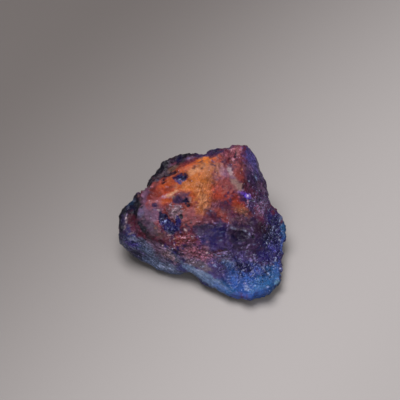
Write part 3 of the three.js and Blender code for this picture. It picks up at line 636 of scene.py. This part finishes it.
class Surface:
    """The stone's fine surface: its points in millimetres, and what the patches need to know of them."""

    def __init__(self, mesh):
        self.mesh = mesh
        self.points = self.read(mesh.vertices, "co")
        edges = np.empty(2 * len(mesh.edges), np.int32)
        mesh.edges.foreach_get("vertices", edges)
        self.edges = edges.reshape(-1, 2)
        self.measure()

    def read(self, items, name):
        values = np.empty(3 * len(items), np.float32)
        items.foreach_get(name, values)
        return values.reshape(-1, 3).astype(float)

    def measure(self):
        """Puts the points into the mesh and works out its normals and where it shows."""
        self.mesh.vertices.foreach_set("co", self.points.astype(np.float32).ravel())
        self.mesh.update()
        self.normals = self.read(self.mesh.vertex_normals, "vector")
        self.turned_away = np.maximum(-self.normals @ BACK, 0)
        self.across, self.down, self.depth = shown_at(self.points)
        self.shifts = [rough(self.points, size, seed) for size, seed in EDGE_LUMPS]
        self.speckle = rough(self.points, 0.25, 57, 2)

    def soften(self, rounds, share=0.5):
        """Each point moves towards the middle of its neighbours, round after round."""
        a, b = self.edges.T
        count = np.bincount(self.edges.ravel(), minlength=len(self.points))
        for _ in range(rounds):
            middle = np.empty_like(self.points)
            for axis in range(3):
                values = self.points[:, axis]
                sums = np.bincount(a, values[b], len(values)) + np.bincount(b, values[a], len(values))
                middle[:, axis] = sums / count
            self.points += share * (middle - self.points)

    def raise_by(self, heights):
        """Moves each point outward by its height; the flat break underneath stays flat."""
        self.points += heights[:, None] * self.normals
        self.points[:, 2] = np.maximum(self.points[:, 2], LOW[2])

    def patch(self, across, down, half_width, half_height, turn, softness, ragged=0.7):
        """How much of a ragged patch covers each point, from 0 to 1; it doesn't reach through the stone."""
        smaller = min(half_width, half_height)
        wide, fine = min(0.35 * smaller, 4.0), min(1.0 + 0.25 * smaller, 3.0)
        dx = self.across - across
        dy = down - self.down
        near = np.hypot(dx, dy) < 2.5
        top = self.depth[near].min() if near.any() else self.depth.min()
        dx += wide * self.shifts[0] + fine * self.shifts[1]
        dy += wide * self.shifts[2] + fine * self.shifts[3]
        c = math.cos(math.radians(turn))
        s = math.sin(math.radians(turn))
        along = (c * dx + s * dy) / half_width
        aside = (c * dy - s * dx) / half_height
        reach = 1.2 + 0.12 * max(half_width, half_height)
        behind = np.maximum(self.depth - top - 0.3, 0) / reach + 2 * self.turned_away
        out = np.sqrt(along**2 + aside**2 + behind**2) + ragged * softness * self.speckle
        return smooth_step((1 - out) / softness + 0.5)

    def share_of(self, areas, least=0.0):
        """The largest share that any of several soft areas gives each point."""
        shares = [share * self.patch(*area, 0.9) for share, *area in areas]
        return np.maximum(np.maximum.reduce(shares), least)


def fine_mesh(node):
    """A copy of the CAD node's mesh in millimetres, made of small even faces."""
    mesh = node.data.copy()
    mesh.transform(Matrix.Scale(1 / MM, 4))
    source = bpy.data.objects.new("source", mesh)
    bpy.context.scene.collection.objects.link(source)
    remesh = source.modifiers.new("remesh", "REMESH")
    remesh.mode = "VOXEL"
    remesh.voxel_size = FACE_SIZE
    ready = source.evaluated_get(bpy.context.evaluated_depsgraph_get())
    fine = bpy.data.meshes.new_from_object(ready)
    bpy.data.objects.remove(source)
    bpy.data.meshes.remove(mesh)
    fine.materials.clear()
    return fine


def broken_relief(surface):
    """Heights of the flat-faced grains, fibres, ripples and pits, in millimetres."""
    points = surface.points
    heights = 0.07 * rough(points, 0.9, 3)
    for size, lean, seed in ((1.5, 0.16, 11), (0.75, 0.2, 23), (0.4, 0.2, 35)):
        way, own, gap = grains(points + 0.12 * rough(points, 0.5, 5)[:, None], size, seed)
        tilt = np.stack([2 * hashed(own, seed + 7 + axis) - 1 for axis in range(3)], axis=1)
        heights += lean * (way * tilt).sum(axis=1) * smooth_step(gap / (0.25 * size))
    calm = surface.share_of(CALM_AREAS)
    heights *= 1 - 0.85 * calm
    hidden = (1 - calm) * smooth_step(0.3 - 2 * surface.normals @ BACK)
    way, own, gap = grains(points + 0.2 * rough(points, 1.2, 9)[:, None], 3.4, 51)
    tilt = np.stack([2 * hashed(own, 58 + axis) - 1 for axis in range(3)], axis=1)
    heights += hidden * np.minimum(0.3 * (way * tilt).sum(axis=1), 0) * smooth_step(gap / 0.6)
    fibres = surface.patch(208, 188, 16, 34, 10, 0.8)
    heights += 0.035 * fibres * fibre_waves(points)
    ripples = surface.patch(192, 244, 28, 14, -20, 0.7)
    heights += 0.05 * ripples * ripple_waves(points)
    for stain, *area in DARK_GRAINS:
        heights -= 0.07 * surface.patch(*area, 0.5, 1.5)
    for *area, height in SMALL_RELIEF:
        heights += height * surface.patch(*area, 0.9, 0.15)
    return heights


def fibre_waves(points):
    """Fine parallel fibres that run down the top face, from -1 to 1."""
    run = np.array([0.26, 0.66, 0.7])
    side = np.cross(run, [0.0, -0.7, 0.7])
    side /= np.linalg.norm(side)
    rise = np.cross(run, side)
    fanned = points + 0.25 * rough(points, 1.6, 61)[:, None] * side
    stretched = np.stack([fanned @ run / 6, fanned @ side, fanned @ rise / 3], axis=1)
    return 0.6 * lumps(stretched, 0.17, 7) + 0.5 * lumps(stretched, 0.32, 8)


def ripple_waves(points):
    """Wavy ripples that run across the front of the top face, from -1 to 1."""
    climb = points @ np.array([0.15, 0.7, 0.7]) + 0.4 * rough(points, 1.3, 71)
    waver = lumps(points * np.array([0.35, 1, 1]), 0.3, 72)
    return 0.7 * np.sin(2 * math.pi * climb / 0.46) + 0.5 * waver


def ground_stain(surface):
    """The colour away from all patches: dark mottled rind, rusty high up, and blue along the low edges."""
    points = surface.points
    height = (points[:, 2] - LOW[2]) / (HIGH[2] - LOW[2])
    colour = np.tile(linear("plum"), (len(points), 1))
    layers = (
        ("soot", rough(points, 3.0, 81) * 1.4 + 0.35),
        ("slate", rough(points, 2.2, 83) * 2.0 - 0.2),
        ("wine", rough(points, 2.6, 85) * 2.0 - 0.1 + 0.5 * height),
        ("navy", rough(points, 1.8, 87) * 2.0 + 0.3 - height),
        ("teal", 1.2 * smooth_step(1 - 3 * height) + rough(points, 1.4, 89) - 0.6),
        ("mauve", rough(points, 0.8, 91) * 2.4 - 0.9),
    )
    for stain, share in layers:
        colour = mixed(colour, linear(stain), smooth_step(share))
    return colour


def mixed(under, over, share):
    return under + share[:, None] * (over - under)


def stained(surface):
    """Each point's colour: the ground, the patches, the dark grains, and the pale marks and painted highlights on
    top.
    """
    points = surface.points
    colour = ground_stain(surface)
    for stain, *area, strength in PATCHES:
        colour = mixed(colour, linear(stain), strength * surface.patch(*area))
    for stain, *area in DARK_GRAINS:
        colour = mixed(colour, linear(stain), surface.patch(*area, 0.5, 1.5))
    broken = np.clip(0.75 + 0.9 * lumps(points, 0.16, 97), 0, 1)
    for stain, *area, strength in PALE_MARKS_AND_HIGHLIGHTS:
        colour = mixed(colour, linear(stain), strength * broken * surface.patch(*area, 0.9))
    mottle = 0.3 * rough(points, 0.9, 95) + 0.2 * lumps(points, 0.2, 96)
    shade = 1 + mottle * (1 - 0.6 * surface.share_of(CALM_AREAS))
    return np.clip(colour * shade[:, None], 0.001, 0.9)


def add_attribute(mesh, name, values):
    """A value or colour for each point of the mesh, for the material to read."""
    if values.ndim == 1:
        mesh.attributes.new(name, "FLOAT", "POINT").data.foreach_set("value", values.astype(np.float32))
        return
    solid = np.ones((len(values), 4), np.float32)
    solid[:, :3] = values
    mesh.attributes.new(name, "FLOAT_COLOR", "POINT").data.foreach_set("color", solid.ravel())


def stone_material():
    """Vitreous broken mineral: the stains, fine mottling, painted glints, a painted glow and small uneven breaks.
    """
    material = bpy.data.materials.new("afghanite")
    material.use_nodes = True
    nodes, links = material.node_tree.nodes, material.node_tree.links
    shader = nodes["Principled BSDF"]

    def node(kind, **settings):
        made = nodes.new(kind)
        for name, value in settings.items():
            setattr(made, name, value)
        return made

    def math_node(operation, a, b=0.0, clamp=False):
        made = node("ShaderNodeMath", operation=operation, use_clamp=clamp)
        for socket, value in zip(made.inputs, (a, b)):
            if isinstance(value, (int, float)):
                socket.default_value = value
            else:
                links.new(value, socket)
        return made.outputs[0]

    def attribute(name, output="Fac"):
        return node("ShaderNodeAttribute", attribute_name=name).outputs[output]

    def noise(size, detail=3.0, roughness=0.6):
        made = node("ShaderNodeTexNoise")
        links.new(place, made.inputs["Vector"])
        made.inputs["Scale"].default_value = 1 / (size * MM)
        made.inputs["Detail"].default_value = detail
        made.inputs["Roughness"].default_value = roughness
        return made.outputs["Fac"]

    def mix_colour(share, under, over, blend="MIX"):
        made = node("ShaderNodeMix", data_type="RGBA", blend_type=blend)
        for socket, value in ((made.inputs[0], share), (made.inputs[6], under), (made.inputs[7], over)):
            if isinstance(value, bpy.types.NodeSocket):
                links.new(value, socket)
            else:
                socket.default_value = value
        return made.outputs[2]

    place = node("ShaderNodeTexCoord").outputs["Object"]

    def painted_glints(size, density):
        """Painted glints: small bright specks, where density says how many of the cells of that size hold one."""
        cells = node("ShaderNodeTexVoronoi")
        links.new(place, cells.inputs["Vector"])
        cells.inputs["Scale"].default_value = 1 / (size * MM)
        draw = node("ShaderNodeSeparateColor")
        links.new(cells.outputs["Color"], draw.inputs["Color"])
        chosen = math_node("LESS_THAN", draw.outputs["Red"], density)
        reach = math_node("MULTIPLY_ADD", draw.outputs["Green"], 0.2)
        reach.node.inputs[2].default_value = 0.12
        inside = math_node("SUBTRACT", reach, cells.outputs["Distance"])
        edge = math_node("MULTIPLY", inside, 9.0, clamp=True)
        return math_node("MULTIPLY", chosen, edge)

    def strokes(length, width, turn, waver=0.0):
        """Noise drawn out along the top face, at that turn from the picture's level."""
        lay = Matrix.Rotation(TOP_TILT, 3, "X") @ Matrix.Rotation(math.radians(turn), 3, "Z")
        mapping = node("ShaderNodeMapping", vector_type="TEXTURE")
        links.new(place, mapping.inputs["Vector"])
        mapping.inputs["Rotation"].default_value = lay.to_euler()
        mapping.inputs["Scale"].default_value = (length * MM, width * MM, width * MM)
        made = node("ShaderNodeTexNoise")
        links.new(mapping.outputs[0], made.inputs["Vector"])
        made.inputs["Scale"].default_value = 1.0
        made.inputs["Detail"].default_value = 2.0
        made.inputs["Distortion"].default_value = waver
        return made.outputs["Fac"]

    def between(value, low, high, to_low=0.0, to_high=1.0):
        """The value's place between low and high, clamped."""
        made = node("ShaderNodeMapRange")
        links.new(value, made.inputs["Value"])
        made.inputs["From Min"].default_value = low
        made.inputs["From Max"].default_value = high
        made.inputs["To Min"].default_value = to_low
        made.inputs["To Max"].default_value = to_high
        return made.outputs[0]

    def etched(under, mask, pattern, dark_share, light_share, sparse=0.0, haze=(0.055, 0.045, 0.085, 1)):
        """The colour under, darker where the pattern is low and paler where it is high, as far as the mask says."""
        low = between(pattern, 0.48 - sparse, 0.38 - sparse)
        high = between(pattern, 0.55 + sparse, 0.65 + sparse)
        low = math_node("MULTIPLY", math_node("MULTIPLY", low, mask), dark_share)
        high = math_node("MULTIPLY", math_node("MULTIPLY", high, mask), light_share)
        darker = mix_colour(low, under, (0.25, 0.2, 0.28, 1), "MULTIPLY")
        brighter = mix_colour(high, darker, (0.6, 0.56, 0.58, 1), "DODGE")
        return mix_colour(high, brighter, haze, "SCREEN")

    base = node("ShaderNodeVectorMath", operation="SCALE")
    links.new(attribute("stain", "Color"), base.inputs[0])
    links.new(between(noise(0.13, 4.0, 0.7), 0.3, 0.7, 0.8, 1.2), base.inputs["Scale"])
    warm = (0.06, 0.045, 0.04, 1)
    dusky = (0.055, 0.03, 0.065, 1)
    colour = etched(base.outputs[0], attribute("grainy"), noise(0.17, 3.0, 0.7), 0.9, 0.8, haze=dusky)
    colour = etched(colour, attribute("rippled"), strokes(0.5, 0.16, -8, 1.2), 0.8, 0.9)
    colour = etched(colour, attribute("fibrous"), strokes(0.8, 0.12, 66, 0.3), 0.35, 0.5, haze=warm)
    colour = etched(colour, attribute("banded"), strokes(0.8, 0.16, -28, 0.4), 0.7, 0.6)
    colour = etched(colour, attribute("streaked"), strokes(0.36, 0.15, 72, 0.8), 0.9, 0.85, 0.02)
    frosted = math_node("MULTIPLY", between(strokes(0.32, 0.14, 40, 1.0), 0.6, 0.66), attribute("streaked"))
    colour = mix_colour(math_node("MULTIPLY", frosted, 0.55), colour, (0.34, 0.38, 0.62, 1))

    off_middle = math_node("ABSOLUTE", math_node("SUBTRACT", noise(0.9, 3.0, 0.6), 0.5))
    veins = math_node("MULTIPLY", between(off_middle, 0.02, 0.006), between(noise(0.7, 2.0), 0.5, 0.62))
    shown = math_node("MULTIPLY", veins, attribute("veined"))
    colour = mix_colour(shown, colour, (0.3, 0.28, 0.4, 1), "SCREEN")

    # Painted glints: small bright specks laid over the colour.
    density = attribute("painted_glint_density")
    bright = math_node("MAXIMUM", painted_glints(0.22, density), painted_glints(0.14, density))
    colour = mix_colour(math_node("MULTIPLY", bright, 0.7), colour, (0.42, 0.45, 0.72, 1))
    links.new(colour, shader.inputs["Base Color"])

    sheen = noise(0.5, 3.0)
    uneven = math_node("MULTIPLY_ADD", sheen, 0.6)
    uneven.node.inputs[2].default_value = 0.06
    links.new(uneven, shader.inputs["Roughness"])
    shader.inputs["IOR"].default_value = 1.53
    shader.inputs["Specular IOR Level"].default_value = 0.14

    shader.inputs["Subsurface Weight"].default_value = 0.15
    shader.inputs["Subsurface Radius"].default_value = (1.0, 0.5, 0.4)
    shader.inputs["Subsurface Scale"].default_value = 0.35 * MM
    # Painted glow: the stone's colour is given off as emission where painted_glow says, as if lit from within.
    links.new(colour, shader.inputs["Emission Color"])
    links.new(math_node("MULTIPLY", attribute("painted_glow"), 0.06), shader.inputs["Emission Strength"])

    bump = node("ShaderNodeBump")
    bump.inputs["Strength"].default_value = 0.7
    bump.inputs["Distance"].default_value = 0.06 * MM
    links.new(noise(0.12, 4.0, 0.6), bump.inputs["Height"])
    links.new(bump.outputs[0], shader.inputs["Normal"])
    return material


def make_stone():
    surface = Surface(fine_mesh(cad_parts["afghanite_chunk"]))
    surface.soften(SOFTEN_ROUNDS)
    surface.measure()
    surface.raise_by(broken_relief(surface))
    surface.measure()
    mesh = surface.mesh
    add_attribute(mesh, "stain", stained(surface))
    add_attribute(mesh, "painted_glow", surface.share_of(PAINTED_GLOW_AREAS))
    for name, least, areas in TEXTURE_AREAS:
        add_attribute(mesh, name, surface.share_of(areas, least))
    mesh.transform(Matrix.Scale(MM, 4))
    mesh.name = "afghanite_stone"
    mesh.materials.append(stone_material())
    mesh.shade_smooth()
    stone = bpy.data.objects.new("afghanite_stone", mesh)
    bpy.context.scene.collection.objects.link(stone)
    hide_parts("afghanite_chunk")
    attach(stone, "root")


def make_floor():
    half = 400 * MM
    mesh = bpy.data.meshes.new("floor")
    level = LOW[2] * MM
    corners = [(-half, -half, level), (half, -half, level), (half, half, level), (-half, half, level)]
    mesh.from_pydata(corners, [], [(0, 1, 2, 3)])
    material = bpy.data.materials.new("floor")
    material.use_nodes = True
    nodes, links = material.node_tree.nodes, material.node_tree.links
    shader = nodes["Principled BSDF"]
    # Painted shade: the floor's colour grades from dark at the back left to pale at the front right, standing in
    # for the lamps' falloff.
    place = nodes.new("ShaderNodeTexCoord").outputs["Object"]
    across = nodes.new("ShaderNodeVectorMath")
    across.operation = "DOT_PRODUCT"
    across.inputs[1].default_value = (0.8, -0.6, 0)
    links.new(place, across.inputs[0])
    painted_falloff = nodes.new("ShaderNodeMapRange")
    painted_falloff.interpolation_type = "SMOOTHSTEP"
    painted_falloff.inputs["From Min"].default_value = -32 * MM
    painted_falloff.inputs["From Max"].default_value = 20 * MM
    links.new(across.outputs["Value"], painted_falloff.inputs["Value"])
    shade = nodes.new("ShaderNodeMix")
    shade.data_type = "RGBA"
    shade.inputs[6].default_value = (0.13, 0.112, 0.107, 1)
    shade.inputs[7].default_value = (0.43, 0.395, 0.39, 1)
    links.new(painted_falloff.outputs[0], shade.inputs[0])
    links.new(shade.outputs[2], shader.inputs["Base Color"])
    shader.inputs["Roughness"].default_value = 0.7
    mesh.materials.append(material)
    floor = bpy.data.objects.new("floor", mesh)
    bpy.context.scene.collection.objects.link(floor)


def make_light(name, place, size, power):
    """A soft square lamp at a place in millimetres, turned towards the stone."""
    lamp = bpy.data.lights.new(name, "AREA")
    lamp.shape = "SQUARE"
    lamp.size = size * MM
    lamp.energy = power
    light = bpy.data.objects.new(name, lamp)
    light.location = Vector(place) * MM
    light.rotation_mode = "QUATERNION"
    light.rotation_quaternion = (Vector((0, 0, 3)) - Vector(place)).to_track_quat("-Z", "Y")
    bpy.context.scene.collection.objects.link(light)


def make_lights():
    make_light("key", (-24, 28, 140), 105, 0.235)
    make_light("fill", (90, -60, 130), 160, 0.04)
    make_light("front", (15, -150, 45), 100, 0.085)
    world = bpy.data.worlds.new("studio")
    world.use_nodes = True
    background = world.node_tree.nodes["Background"]
    background.inputs["Color"].default_value = (0.92, 0.95, 1.0, 1)
    background.inputs["Strength"].default_value = 0.085
    bpy.context.scene.world = world
    bpy.context.scene.view_settings.view_transform = "Standard"


def make_camera():
    data = bpy.data.cameras.new("camera")
    data.lens = LENS
    data.sensor_width = SENSOR
    data.clip_start = 5 * MM
    data.clip_end = 2000 * MM
    camera = bpy.data.objects.new("camera", data)
    camera.location = Vector(EYE) * MM
    camera.rotation_mode = "QUATERNION"
    camera.rotation_quaternion = Vector(-BACK).to_track_quat("-Z", "Y")
    bpy.context.scene.collection.objects.link(camera)
    bpy.context.scene.camera = camera


make_camera()
make_stone()
make_floor()
make_lights()
